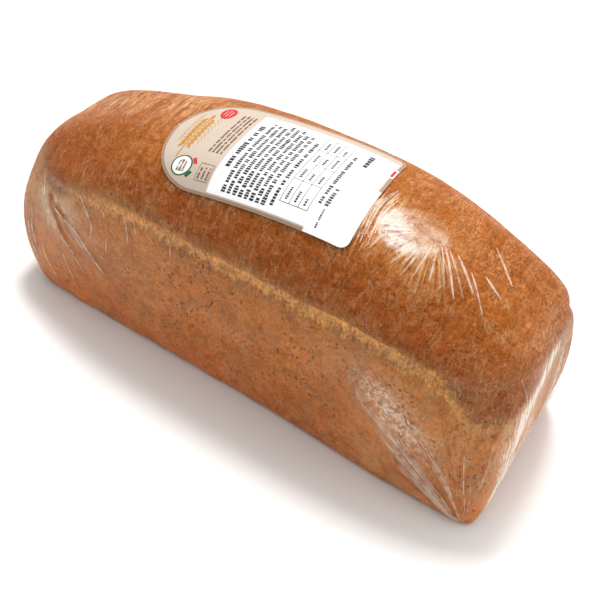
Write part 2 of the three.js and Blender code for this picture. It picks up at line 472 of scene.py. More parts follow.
def end_values(at):
    """The ends, and the bright strip of film on the right one, painted glare over a veil, with a thin
    veil beyond it.
    """
    from_strip = at.across - np.interp(at.height, STRIP_HEIGHTS, STRIP_ACROSS)
    half_width = np.interp(at.height, STRIP_WIDTH_HEIGHTS, STRIP_HALF_WIDTHS)
    strip = bump(from_strip, half_width) * at.on_right_end
    beyond = 0.4 * bump(from_strip, 26) * (from_strip > 0) * at.on_end
    veil_and_glare = np.maximum(strip, beyond) * smooth_step(at.height, 3, 14) * at.below_rim
    return {"on_end": at.on_end, "end_veil_and_glare": veil_and_glare}


def dome_values(at):
    """The dome: a patch of painted glare with a star of creases, creases beside the label, and painted
    highlight streaks.
    """
    along, across = at.along, at.across
    star_along = along - STAR_PLACE[0]
    star_across = across - STAR_PLACE[1]
    from_star = np.hypot(star_along, star_across)
    # Painted highlight: the pulled lines are drawn whiter on the upper left, standing in for the
    # softboxes' streaked reflection.
    highlit_upper_left = smooth_step(-along, 25, 75) * smooth_step(across, -22, 5)
    beside_label = bump(along - 50, 5) * smooth_step(-across, -4, 4) * smooth_step(across, -33, -25)
    # The glare patch is painted: mottled white milk that stands in for a softbox's highlight on the
    # film.
    from_patch = np.hypot((along - 66 - 0.2 * (across + 9)) / 14.5, (across + 11) / 13)
    near_label = 0.6 + 0.4 * smooth_step(-along - across, -60, -42)
    near_label *= 0.3 + 0.7 * smooth_step(-across, 0, 9)
    glare_patch = smooth_step(-from_patch, -1.06, -0.82) * near_label
    rays = bump(from_star - 15, 7) * smooth_step(-star_across, 2, 7)
    rays *= smooth_step(-star_along, -22, -6)
    clinging = at.on_dome * (1 - np.clip(glare_patch + rays + beside_label, 0, 1))
    return {
        "star": smooth_step(from_star, 4, 14) * bump(from_star, 42) * at.on_dome,
        "star_angle": np.arctan2(star_across, star_along),
        "highlight_streaks": at.on_dome * (0.25 + 1.4 * highlit_upper_left),
        "beside_label": beside_label * at.on_dome,
        "glare_patch": glare_patch * at.on_dome,
        "rays": rays * at.on_dome,
        "shiny": 1 - 0.55 * clinging,
    }


def smooth_route(places, spacing):
    """A chain of places drawn as one smooth curve, cut at a spacing."""
    cut = []
    padded = [places[0]] + list(places) + [places[-1]]
    for a, b, c, d in zip(padded, padded[1:], padded[2:], padded[3:]):
        steps = max(2, math.ceil((c - b).length / spacing))
        for i in range(steps):
            t = i / steps
            cut.append(0.5 * (
                2 * b + (c - a) * t + (2 * a - 5 * b + 4 * c - d) * t**2
                + (3 * b - a - 3 * c + d) * t**3
            ))
    return cut + [places[-1]]


def add_pleat(tree, places, height, half):
    """One narrow ridge of folded film that lies along a smooth route on the surface."""
    route = smooth_route(places, PLEAT_STEP)
    last = len(route) - 1
    last_across = len(PLEAT_SECTION) - 1
    bpy.ops.object.select_all(action="DESELECT")
    bpy.ops.mesh.primitive_grid_add(x_subdivisions=last, y_subdivisions=last_across, size=2)
    pleat = bpy.context.active_object
    rows = points_of(pleat)
    for row in rows:
        i = round((row[0] + 1) / 2 * last)
        across, up = PLEAT_SECTION[round((row[1] + 1) / 2 * last_across)]
        place, facing, _, _ = tree.find_nearest(route[i])
        ahead = route[min(i + 1, last)] - route[max(i - 1, 0)]
        sideways = facing.cross(ahead).normalized()
        taper = math.sin(math.pi * (0.03 + 0.94 * i / last)) ** 0.6
        row[:] = place + sideways * across * half * taper + facing * (up * height * taper)
    move_points(pleat, rows)
    facing_out = sum(p.normal.dot(tree.find_nearest(p.center)[1]) for p in pleat.data.polygons)
    if facing_out < 0:
        open_mesh(pleat)
        bpy.ops.mesh.flip_normals()
        close_mesh()
    return pleat


def add_side_pleats(tree, chance, side):
    """The pleats of one long side, with finer ones beside those that make the right bundle."""
    pleats = []
    for route, height, half in SIDE_PLEATS:
        places = [on_long_side(tree, x, z, side) for x, z in route]
        sizes = (MAIN_PLEAT[0] * height * MM, MAIN_PLEAT[1] * half * MM)
        pleats.append(add_pleat(tree, places, *sizes))
    for route, height, half in BUNDLED_PLEATS:
        for shift in BUNDLE_SHIFTS:
            places = []
            for i, (x, z) in enumerate(route):
                apart = shift * (1.1 - i / (len(route) - 1)) + chance.uniform(-0.3, 0.3)
                along = x + 0.6 * apart + chance.uniform(0, 5) * (i == 0)
                places.append(on_long_side(tree, along, max(z + apart, 1), side))
            places[-1] = places[-2].lerp(places[-1], chance.uniform(0.1, 0.7))
            sizes = (FINE_PLEAT[0] * height * MM, FINE_PLEAT[1] * half * MM)
            pleats.append(add_pleat(tree, places, *sizes))
    return pleats


def add_dome_pleats(tree, chance):
    """The creases of the star, and the ones along the label's square end."""
    pleats = []
    for route in STAR_PLEATS + LABEL_END_PLEATS:
        places = []
        for x, y in route:
            above = Vector((x * MM + RIM_MIDDLE, y * MM, OUTSIDE))
            places.append(tree.ray_cast(above, Vector((0, 0, -1)))[0])
        half = chance.uniform(0.35, 0.6) * MM
        height = chance.uniform(0.2, 0.4) * MM
        pleats.append(add_pleat(tree, places, height, half))
    return pleats


def add_end_pleats(tree, chance, end):
    """Upright pleats on one end."""
    pleats = []
    for _ in range(END_PLEAT_COUNT):
        across = chance.uniform(-37, 30)
        low = chance.uniform(8, 46)
        high = low + chance.uniform(18, 38)
        shift = chance.uniform(-5, 3)
        places = []
        for step in range(4):
            y = across + shift * step / 3
            z = low + (high - low) * step / 3
            start = Vector((end * OUTSIDE, y * MM, z * MM))
            places.append(tree.ray_cast(start, Vector((-end, 0, 0)))[0] or start)
        half = chance.uniform(0.28, 0.5) * MM
        height = chance.uniform(0.3, 0.7) * MM
        pleats.append(add_pleat(tree, places, height, half))
    return pleats


def build_film_pleats(film):
    """The film's sharp pleats on its long sides, on the dome and on both ends, as one piece."""
    chance = random.Random(11)
    tree = surface_tree(film)
    pleats = add_side_pleats(tree, chance, -1) + add_side_pleats(tree, chance, 1)
    pleats += add_dome_pleats(tree, chance)
    pleats += add_end_pleats(tree, chance, -1) + add_end_pleats(tree, chance, 1)
    select_only(pleats[0])
    for pleat in pleats:
        pleat.select_set(True)
    bpy.ops.object.join()
    joined = bpy.context.active_object
    joined.name = "film_pleats"
    shade_smooth(joined)
    return joined


# The label

LABEL_ALONG = -4 * MM
LABEL_ACROSS = -9 * MM  # from the dome's crest, measured on the crust
LABEL_TURN = math.radians(4.2)
LABEL_LENGTH = 100 * MM
LABEL_WIDTH = 58 * MM
LABEL_ARCH = 25 * MM
LABEL_CORNER = 4 * MM
LABEL_CELLS = (64, 36)
PAPER_LIFT = 0.05 * MM
PAPER_THICKNESS = 0.3 * MM
STATION_STEP = 3 * MM

# How far above the paper each colour of the print lies, so that none cuts another
PRINT_LIFTS = {
    "label_border": 0.02 * MM,
    "label_white_field": 0.04 * MM,
    "label_green": 0.04 * MM,
    "label_white_corner": 0.05 * MM,
    "label_gold": 0.06 * MM,
    "label_pale": 0.07 * MM,
    "label_words": 0.08 * MM,
    "label_red": 0.09 * MM,
    "label_brown": 0.10 * MM,
    "label_fine_lines": 0.12 * MM,
}

# Places on the label, in millimetres from its middle: along it, then across it
OVAL_PLACE = (-33.5, 19)
RING_PLACE = (-33.5, -18.6)
TAB_PLACE = (48.7, 15.8)
EAR_ALONG = -38.5


class DomeSurvey:
    """Distances measured on the dome, so that flat work can be laid on it without stretching."""

    def __init__(self, film):
        self.tree = surface_tree(film)
        self.stations = np.arange(-70, 66, 3) * MM
        self.across = np.arange(-46, 46.5, 0.5) * MM
        self.arcs = []
        for station in self.stations:
            heights = [self.drop(station, y)[0].z for y in self.across]
            steps = np.hypot(np.diff(self.across), np.diff(heights))
            arc = np.concatenate([[0], np.cumsum(steps)])
            crest = np.interp(0, self.across, arc)
            self.arcs.append(arc - crest)

    def drop(self, x, y):
        """The crust straight below a place, and the direction that faces out of it."""
        place, facing, _, _ = self.tree.ray_cast(Vector((x, y, OUTSIDE)), Vector((0, 0, -1)))
        if place is None:
            return Vector((x, y, 0)), Vector((0, 0, 1))
        return place, facing

    def lay(self, along, across, lift):
        """A flat place on the label, laid on the dome."""
        cos = math.cos(LABEL_TURN)
        sin = math.sin(LABEL_TURN)
        x = RIM_MIDDLE + LABEL_ALONG + along * cos - across * sin
        arc = LABEL_ACROSS + along * sin + across * cos
        from_first = x - self.stations[0]
        nearer = int(np.clip(from_first // STATION_STEP, 0, len(self.stations) - 2))
        share = (x - self.stations[nearer]) / STATION_STEP
        before = np.interp(arc, self.arcs[nearer], self.across)
        after = np.interp(arc, self.arcs[nearer + 1], self.across)
        place, facing = self.drop(x, before + (after - before) * share)
        return place + facing * lift


def lay_flat_work(piece, survey, lift):
    """Bends flat work in label coordinates over the dome. Its own thickness is kept."""
    rows = points_of(piece)
    laid = [survey.lay(x, y, lift + z) for x, y, z in rows.tolist()]
    move_points(piece, np.array([list(place) for place in laid]))


def lay_print(piece, survey):
    """Lays one colour of the print on the paper."""
    lay_flat_work(piece, survey, PAPER_LIFT + PAPER_THICKNESS + PRINT_LIFTS[piece.name])
    return piece


def label_half_width(along):
    """Half the label's width at a distance from its middle."""
    into_arch = (along + LABEL_LENGTH / 2) / LABEL_ARCH
    if into_arch < 1:
        return LABEL_WIDTH / 2 * math.sqrt(max(1 - (1 - into_arch) ** 2, 0.0004))
    past_corner = max(along - (LABEL_LENGTH / 2 - LABEL_CORNER), 0)
    drop = LABEL_CORNER - math.sqrt(max(LABEL_CORNER**2 - past_corner**2, 0))
    return LABEL_WIDTH / 2 - drop


def add_label_sheet(name, inset=0.0):
    """A grid cut to the label's outline, flat, with its edge drawn in by inset."""
    along_cells, across_cells = LABEL_CELLS
    bpy.ops.object.select_all(action="DESELECT")
    bpy.ops.mesh.primitive_grid_add(
        x_subdivisions=along_cells, y_subdivisions=across_cells, size=1, location=(0, 0, 0)
    )
    sheet = bpy.context.active_object
    sheet.name = name
    rows = points_of(sheet)
    for row in rows:
        eased = 0.5 - 0.5 * math.cos(math.pi * (row[0] + 0.5))
        along = LABEL_LENGTH * (eased - 0.5)
        row[1] *= 2 * label_half_width(along) * (1 - 2 * inset / LABEL_WIDTH)
        row[0] = along * (1 - 2 * inset / LABEL_LENGTH)
    move_points(sheet, rows)
    return sheet


def build_label_paper(survey):
    """The label itself: one sheet of paper that follows the dome."""
    paper = add_label_sheet("label_paper")
    finish_modifier(paper, "SOLIDIFY", thickness=PAPER_THICKNESS, offset=1)
    lay_flat_work(paper, survey, PAPER_LIFT)
    open_mesh(paper)
    bpy.ops.mesh.normals_make_consistent(inside=False)
    close_mesh()
    bpy.ops.object.shade_smooth_by_angle(angle=math.radians(50))
    return paper


def cut_sheet(sheet, from_along, up_to_across):
    """Keeps the part of a sheet past one line along it and before another across it."""
    open_mesh(sheet)
    bpy.ops.mesh.bisect(
        plane_co=(from_along * MM, 0, 0), plane_no=(1, 0, 0), clear_inner=True, clear_outer=False
    )
    bpy.ops.mesh.select_all(action="SELECT")
    bpy.ops.mesh.bisect(
        plane_co=(0, up_to_across * MM, 0), plane_no=(0, 1, 0), clear_inner=False, clear_outer=True
    )
    close_mesh()


def build_white_field(survey):
    """The white panel over the label's square end, which leaves the arch and a far band bare."""
    panel = add_label_sheet("label_white_field", inset=1.9 * MM)
    cut_sheet(panel, -17, 24)
    return lay_print(panel, survey)


def build_white_corner(survey):
    """The white reaches the label's very edge round its near square corner."""
    corner = add_label_sheet("label_white_corner")
    cut_sheet(corner, 30, 2)
    return lay_print(corner, survey)


def build_border(survey):
    """A grey-tan line just inside the label's edge."""
    border = add_label_sheet("label_border", inset=0.15 * MM)
    open_mesh(border)
    bpy.ops.mesh.inset(thickness=1.1 * MM)
    bpy.ops.mesh.delete(type="FACE")
    close_mesh()
    return lay_print(border, survey)


class FlatPrint:
    """One colour of the print, drawn flat in millimetres with strips and discs, then laid."""

    def __init__(self, name):
        mesh = bpy.data.meshes.new(name)
        self.piece = bpy.data.objects.new(name, mesh)
        bpy.context.scene.collection.objects.link(self.piece)
        select_only(self.piece)
        bpy.ops.object.mode_set(mode="EDIT")

    def place_last(self, along, across, length, width, turn):
        """Sizes, turns and moves what was just added at the origin."""
        middle = (0, 0, 0)
        bpy.ops.transform.resize(value=(length, width, 1), center_override=middle)
        if turn:
            bpy.ops.transform.rotate(
                value=math.radians(turn), orient_axis="Z", center_override=middle
            )
        bpy.ops.transform.translate(value=(along * MM, across * MM, 0))

    def strip(self, along, across, length, width, turn=0.0):
        """A straight strip, cut often enough to bend over the dome."""
        bpy.ops.mesh.select_all(action="DESELECT")
        bpy.ops.mesh.primitive_grid_add(
            x_subdivisions=max(1, round(length / 2.5)),
            y_subdivisions=max(1, round(width / 2.5)),
            size=MM,
            location=(0, 0, 0),
        )
        self.place_last(along, across, length, width, turn)

    def disc(self, along, across, radius, squeeze=1.0, sides=24, turn=0.0):
        """A filled disc, or an oval squeezed along the label."""
        bpy.ops.mesh.select_all(action="DESELECT")
        bpy.ops.mesh.primitive_circle_add(
            vertices=sides, radius=MM, fill_type="TRIFAN", location=(0, 0, 0)
        )
        self.place_last(along, across, radius * squeeze, radius, turn)

    def finish(self, survey):
        """Closes the mesh and lays it on the label."""
        close_mesh()
        return lay_print(self.piece, survey)


def add_word_line(flat_print, chance, along, start, end, height, letter, gap):
    """A line of plain blocks that stands for a line of words, running across the label."""
    place = start
    while place < end:
        for _ in range(chance.randint(2, 8)):
            if place + letter > end:
                break
            wide = letter * chance.uniform(0.75, 1.15)
            tall = height * chance.choice((0.8, 0.8, 1.0))
            flat_print.strip(along, place + wide / 2, tall, wide)
            place += wide + gap
        place += letter * 0.9


# Lines of blocks after the table: place along the label, start and end across it, then the blocks'
# height, width and gap
LOWER_WORD_LINES = (
    (31.4, -16, 17, 1.8, 1.1, 0.3),
    (37, 12, 22, 2.4, 1.5, 0.35),
    (34.6, -26, -17, 0.9, 0.7, 0.25),
    (34.4, -16, -5, 2.2, 1.1, 0.3),
)


def build_words(survey):
    """The black part of the print: heading, lines of plain blocks and a small table."""
    chance = random.Random(7)
    words = FlatPrint("label_words")
    add_word_line(words, chance, -13.4, -14, 17, 2.6, 1.3, 0.3)
    for line in range(8):
        short = chance.uniform(0, 5)
        add_word_line(words, chance, -9.6 + 2.75 * line, -25, 23 - short, 1.95, 0.95, 0.28)
    add_word_line(words, chance, 13.2, -24, 17, 1.9, 1.15, 0.3)
    for row in (15.8, 20.0, 24.2, 28.4):
        words.strip(row, 0, 0.3, 42)
    for column in (-21, -9, 2, 12, 21):
        words.strip(22.1, column, 12.6, 0.3)
    for row in (17.9, 22.1, 26.3):
        for column in (-19.5, -7.5, 3.5, 13.5):
            add_word_line(words, chance, row, column, column + chance.uniform(4, 7), 1.3, 0.9, 0.3)
    for line in LOWER_WORD_LINES:
        add_word_line(words, chance, *line)
    return words.finish(survey)


def build_grain_ear(survey):
    """A plain ear of grain, in gold, along the arch."""
    gold = FlatPrint("label_gold")
    gold.strip(EAR_ALONG, -2, 0.6, 27)
    for step in range(8):
        across = -8 + 2.6 * step
        for side in (-1, 1):
            grain_place = EAR_ALONG + side * 1.9
            gold.disc(grain_place, across, 1.9, squeeze=0.45, sides=12, turn=side * -32)
            gold.strip(EAR_ALONG + side * 4.6, across + 3.2, 0.3, 3.4, turn=side * -28)
    gold.disc(EAR_ALONG, 13.6, 2.0, squeeze=0.45, sides=12)
    return gold.finish(survey)


def build_red_marks(survey):
    """A red oval on the far side of the arch, and red bars beside the ring and on the tab."""
    red = FlatPrint("label_red")
    red.disc(*OVAL_PLACE, 4.8, squeeze=0.72)
    red.strip(-28.4, -15.4, 1.6, 3.2, turn=-35)
    red.strip(*TAB_PLACE, 1.3, 5.0)
    return red.finish(survey)


def build_green_ring(survey):
    """The dark green disc whose rim shows as a ring, and a green bar beside it."""
    green = FlatPrint("label_green")
    green.disc(*RING_PLACE, 5.0)
    green.strip(-28.6, -21.8, 1.6, 3.2, turn=35)
    return green.finish(survey)


def build_pale_fields(survey):
    """The pale middle of the ring, and a small pale tab at the label's square end."""
    pale = FlatPrint("label_pale")
    pale.disc(*RING_PLACE, 4.3)
    pale.strip(*TAB_PLACE, 2.3, 6.6)
    return pale.finish(survey)


def build_fine_lines(survey):
    """Pale lines across the red oval."""
    fine = FlatPrint("label_fine_lines")
    for line in range(3):
        fine.strip(-35.0 + 1.5 * line, OVAL_PLACE[1], 0.26, 6.0 - 1.6 * abs(line - 1))
    return fine.finish(survey)


def build_brown_lines(survey):
    """Small brown lines of blocks: four below the ear, three in the ring and three in a box."""
    chance = random.Random(3)
    brown = FlatPrint("label_brown")
    for line in range(4):
        add_word_line(brown, chance, -25.5 + 1.9 * line, -9, 21, 1.0, 0.7, 0.25)
    for line in range(3):
        add_word_line(brown, chance, -34.9 + 1.5 * line, -21.3, -16, 0.8, 0.7, 0.2)
        add_word_line(brown, chance, -23.4 + 2.0 * line, -22.6, -16.6, 0.9, 0.7, 0.2)
    for edge in (-24.75, -18.25):
        brown.strip(edge, -19.5, 0.2, 8)
    for edge in (-23.5, -15.5):
        brown.strip(-21.5, edge, 6.5, 0.2)
    return brown.finish(survey)


# Materials

def colour(red, green, blue):
    """A colour given as a screen shows it, 0 to 255, as the shader wants it."""
    shown = np.array((red, green, blue)) / 255
    linear = np.where(shown <= 0.04045, shown / 12.92, ((shown + 0.055) / 1.055) ** 2.4)
    return (*linear.tolist(), 1.0)


class Recipe:
    """One material's nodes, added by short calls that take numbers or other nodes' outputs."""

    def __init__(self, name):
        self.material = bpy.data.materials.new(name)
        self.material.use_nodes = True
        self.tree = self.material.node_tree
        self.tree.nodes.clear()
        self.place = self.node("ShaderNodeTexCoord", {}).outputs["Object"]

    def node(self, kind, inputs, **settings):
        """One node with its inputs set or linked."""
        made = self.tree.nodes.new(kind)
        for name, value in settings.items():
            setattr(made, name, value)
        for name, value in inputs.items():
            if isinstance(value, bpy.types.NodeSocket):
                self.tree.links.new(value, made.inputs[name])
            else:
                made.inputs[name].default_value = value
        return made

    def read(self, name):
        """A number kept at the vertices."""
        return self.node("ShaderNodeAttribute", {}, attribute_name=name).outputs["Fac"]

    def work(self, operation, first, second=0.0, third=0.0):
        """One step of arithmetic."""
        inputs = {0: first, 1: second, 2: third}
        return self.node("ShaderNodeMath", inputs, operation=operation).outputs[0]

    def times(self, first, second):
        """The product of two values."""
        return self.work("MULTIPLY", first, second)

    def plus(self, total, value, factor=1.0):
        """A total with a value added to it, times a factor."""
        return self.work("MULTIPLY_ADD", value, factor, total)

    def larger(self, first, second):
        """The larger of two values."""
        return self.work("MAXIMUM", first, second)

    def smaller(self, first, second):
        """The smaller of two values."""
        return self.work("MINIMUM", first, second)

    def stretch(self, factors, place=None):
        """Coordinates scaled by a factor per axis."""
        inputs = {"Vector": place or self.place, "Scale": factors}
        return self.node("ShaderNodeMapping", inputs).outputs["Vector"]

    def compose(self, x, y=0.0):
        """Coordinates made of two values."""
        return self.node("ShaderNodeCombineXYZ", {"X": x, "Y": y, "Z": 0.0}).outputs[0]

    def grain(self, per_metre, detail=3.0, rough=0.55, place=None, twist=0.0):
        """Noise with this many lumps to the metre."""
        inputs = {
            "Vector": place or self.place,
            "Scale": per_metre,
            "Detail": detail,
            "Roughness": rough,
            "Distortion": twist,
        }
        return self.node("ShaderNodeTexNoise", inputs).outputs["Fac"]

    def drawn_grain(self, factors, detail=3.0, rough=0.6, place=None, twist=0.0):
        """Noise drawn out along some axes, with this many lumps to the metre along each."""
        return self.grain(1, detail, rough, self.stretch(factors, place), twist)

    def cells(self, per_metre, feature="F1", place=None):
        """Cells with this many to the metre."""
        inputs = {"Vector": place or self.place, "Scale": per_metre, "Randomness": 1.0}
        made = self.node("ShaderNodeTexVoronoi", inputs, feature=feature)
        return made.outputs["Distance"]

    def ease(self, value, start, end, low=0.0, high=1.0):
        """A soft step from low at start to high at end."""
        inputs = {"Value": value, "From Min": start, "From Max": end, "To Min": low, "To Max": high}
        made = self.node("ShaderNodeMapRange", inputs, interpolation_type="SMOOTHSTEP")
        return made.outputs["Result"]

    def bands(self, value, stops):
        """Colours along a value from 0 to 1, given as screen colours at places."""
        made = self.node("ShaderNodeValToRGB", {"Fac": value})
        marks = made.color_ramp.elements
        while len(marks) < len(stops):
            marks.new(0.5)
        for mark, (position, *shade) in zip(marks, stops):
            mark.position = position
            mark.color = colour(*shade)
        return made.outputs["Color"]

    def blend(self, share, first, second):
        """A share of the second colour in the first."""
        inputs = {0: share, 6: first, 7: second}
        made = self.node("ShaderNodeMix", inputs, data_type="RGBA", blend_type="MIX")
        return made.outputs[2]

    def scaled(self, vector, factor):
        """A colour or a vector scaled by a factor."""
        inputs = {0: vector, "Scale": factor}
        return self.node("ShaderNodeVectorMath", inputs, operation="SCALE").outputs["Vector"]

    def ridged(self, value, middle, half):
        """1 where a noise passes its middle value and 0 away from there: fine wandering lines."""
        away = self.work("ABSOLUTE", self.work("SUBTRACT", value, middle))
        return self.ease(away, half, 0.0)

    def relief(self, height, depth, strength=1.0):
        """A bump whose height of 1 is depth high."""
        inputs = {"Height": height, "Distance": depth, "Strength": strength}
        return self.node("ShaderNodeBump", inputs).outputs["Normal"]

    def outer_face(self):
        """1 on the face that looks out, 0 on the one that looks in."""
        inner_face = self.node("ShaderNodeNewGeometry", {}).outputs["Backfacing"]
        return self.work("SUBTRACT", 1.0, inner_face)

    def fresnel(self, ior, bent):
        """The share of light that a surface mirrors."""
        return self.node("ShaderNodeFresnel", {"IOR": ior, "Normal": bent}).outputs[0]

    def clear_gloss(self, tint, shine, roughness, bent):
        """A clear skin in a tint, of which a share shines."""
        clear = self.node("ShaderNodeBsdfTransparent", {"Color": tint}).outputs[0]
        inputs = {"Color": (1, 1, 1, 1), "Roughness": roughness, "Normal": bent}
        gloss = self.node("ShaderNodeBsdfGlossy", inputs).outputs[0]
        return self.node("ShaderNodeMixShader", {0: shine, 1: clear, 2: gloss}).outputs[0]

    def milky(self, white, skin, shade):
        """A skin that is milky in places."""
        milk = self.node("ShaderNodeBsdfDiffuse", {"Color": shade}).outputs[0]
        return self.node("ShaderNodeMixShader", {0: white, 1: skin, 2: milk}).outputs[0]

    def finish(self, shader):
        """Puts the shader on the material."""
        self.node("ShaderNodeOutputMaterial", {"Surface": shader})
        return self.material


# Crust colours: from the rim up the dome, and from the table up the wall
DOME_STOPS = (
    (0.00, 184, 119, 60),
    (0.08, 158, 95, 45),
    (0.22, 148, 71, 19),
    (0.45, 150, 73, 19),
    (0.72, 157, 83, 23),
    (1.00, 163, 90, 25),
)
# The wall is lighter towards the foot: partly the crust's own tone, partly painted light standing in
# for the light that the floor throws back.
WALL_STOPS = (
    (0.00, 206, 106, 32),
    (0.10, 200, 103, 31),
    (0.35, 188, 101, 29),
    (0.75, 188, 109, 41),
    (1.00, 190, 115, 47),
)
BROWNED_WALL = colour(164, 90, 34)
TORN_CRUMB = colour(252, 178, 94)
PORE = colour(84, 36, 10)

# Film colours: milk over the crust, milk where the film stands off it that also paints glare, the
# folds, and the tint of painted shadow between creases
MILK = colour(240, 198, 146)
WHITER_MILK_AND_GLARE = colour(248, 240, 228)
FOLD_MILK = colour(244, 232, 218)
CLEAR = (1, 1, 1, 1)
CREASE_SHADOW_TINT = (0.60, 0.36, 0.24, 1)
MOST_SHINE = 0.13


def crust_finish():
    """Browned crust: orange crest, dark shoulder, pale torn band, tan sides with pores."""
    r = Recipe("browned_crust")
    place = r.node("ShaderNodeSeparateXYZ", {"Vector": r.place}).outputs
    ragged = r.grain(110, detail=6, rough=0.7)
    strands = r.drawn_grain((760, 760, 120), detail=4)
    browning = r.grain(26, detail=5, rough=0.6)
    level = r.plus(r.plus(r.plus(r.read("above_rim"), ragged, 10.0), strands, 12.0), -11.0)
    lean = r.plus(r.plus(-8.0, browning, 16.0), place["X"], 34.0)
    dome_level = r.plus(level, r.larger(lean, -3.0))
    dome = r.bands(r.work("DIVIDE", dome_level, 46.0), DOME_STOPS)
    wall = r.bands(r.plus(r.plus(-0.12, place["Z"], 12.2), ragged, 0.24), WALL_STOPS)
    wall = r.blend(r.ease(browning, 0.40, 0.66, 0.0, 0.6), wall, BROWNED_WALL)
    skin = r.blend(r.ease(level, -1.0, 2.5), wall, dome)
    from_band = r.work("ABSOLUTE", r.plus(level, 1.0))
    band = r.times(r.ease(from_band, 3.0, 0.4, 0.0, 0.66), r.read("torn"))
    skin = r.blend(band, skin, TORN_CRUMB)
    sparse = r.grain(75, detail=3)
    pore = r.times(r.ease(r.cells(420), 0.34, 0.14), r.ease(sparse, 0.46, 0.58))
    pore = r.times(pore, r.ease(level, 2.0, -6.0, 0.25, 1.0))
    skin = r.blend(r.times(pore, 0.75), skin, PORE)
    speckle = r.grain(850, detail=4, rough=0.8)
    coarse = r.grain(260, detail=4, rough=0.7)
    cloudy = r.plus(-0.5, r.grain(80, detail=3, rough=0.6))
    shade = r.plus(r.plus(-0.825, coarse, 1.25), speckle, 2.4)
    shade = r.plus(shade, cloudy, r.ease(level, 4.0, -4.0, 0.25, 0.8))
    skin = r.scaled(skin, r.larger(shade, 0.5))
    lumps = r.plus(r.plus(coarse, speckle, 0.45), pore, -1.2)
    lumps = r.plus(lumps, strands, r.ease(from_band, 9.0, 1.0, 0.0, 1.5))
    shader = r.node("ShaderNodeBsdfPrincipled", {
        "Base Color": skin,
        "Roughness": 0.6,
        "Specular IOR Level": 0.03,
        "Normal": r.relief(lumps, 0.8 * MM),
    })
    return r.finish(shader.outputs[0])


class FilmLines:
    """The noises and fine lines that the film's relief, its shadows and its milk share."""

    def __init__(self, r):
        wander = r.node("ShaderNodeTexNoise", {"Vector": r.place, "Scale": 120.0, "Detail": 3.0})
        centred = {0: wander.outputs["Color"], 1: (0.5, 0.5, 0.5)}
        centred = r.node("ShaderNodeVectorMath", centred, operation="SUBTRACT").outputs[0]
        bent_place = {0: r.place, 1: r.scaled(centred, 0.006)}
        self.bent_place = r.node("ShaderNodeVectorMath", bent_place).outputs[0]
        self.pulled = r.drawn_grain((360, 24, 24), detail=4, place=self.bent_place)
        self.finer = r.drawn_grain((1300, 120, 120), rough=0.65)
        self.upright = r.drawn_grain((20, 420, 22), detail=4, rough=0.65, place=self.bent_place)
        self.fan_amount = r.read("fan")
        fan_place = r.compose(r.times(r.read("fan_angle"), 22.0), r.times(r.read("fan_reach"), 0.02))
        self.fan = r.grain(1.0, detail=5, rough=0.7, place=fan_place, twist=0.25)
        star_place = r.compose(r.times(r.read("star_angle"), 15.0))
        self.star = r.grain(1.0, detail=4, rough=0.65, place=star_place)
        self.rays = r.read("rays")
        self.beside_label = r.read("beside_label")
        self.crumple = r.read("crumple")
        self.net = self.net_line(r, 170, 0.09)
        self.net_fine = self.net_line(r, 430, 0.08)
        self.gaps = r.grain(280, detail=4, rough=0.7, place=self.bent_place, twist=1.0)

    def net_line(self, r, per_metre, half):
        """Lines between the cells of crumpled film."""
        edges = r.cells(per_metre, feature="DISTANCE_TO_EDGE", place=self.bent_place)
        return r.times(r.ease(edges, half, 0.0), self.crumple)


def film_relief(r, lines):
    """The film's fine relief: pulled lines, cling, and the creases of each area."""
    height = r.plus(lines.pulled, lines.finer, 0.35)
    for noise_or_line, amount in (
        (r.grain(650, detail=4, rough=0.65), 0.55),
        (lines.upright, r.times(r.read("on_end"), 2.2)),
        (lines.star, r.times(r.read("star"), 1.6)),
        (lines.fan, r.times(lines.fan_amount, 2.0)),
        (lines.net, 1.4),
        (lines.net_fine, 0.6),
        (lines.pulled, r.times(lines.beside_label, 1.5)),
    ):
        height = r.plus(height, noise_or_line, amount)
    return r.relief(height, 0.36 * MM)


def film_shadow(r, lines):
    """Where light doesn't get under the film: between creases and in the clear slots."""
    shadow = 0.0
    for dark in (
        r.times(r.ridged(lines.star, 0.42, 0.04), lines.rays),
        r.times(r.ridged(lines.pulled, 0.44, 0.05), lines.beside_label),
        r.times(r.ridged(lines.fan, 0.42, 0.04), lines.fan_amount),
        r.times(r.ridged(lines.gaps, 0.45, 0.05), lines.crumple),
        r.smaller(r.times(r.read("crease_shade"), 1.6), 1.0),
        r.times(r.read("slot"), 0.7),
    ):
        shadow = r.larger(shadow, dark)
    return shadow


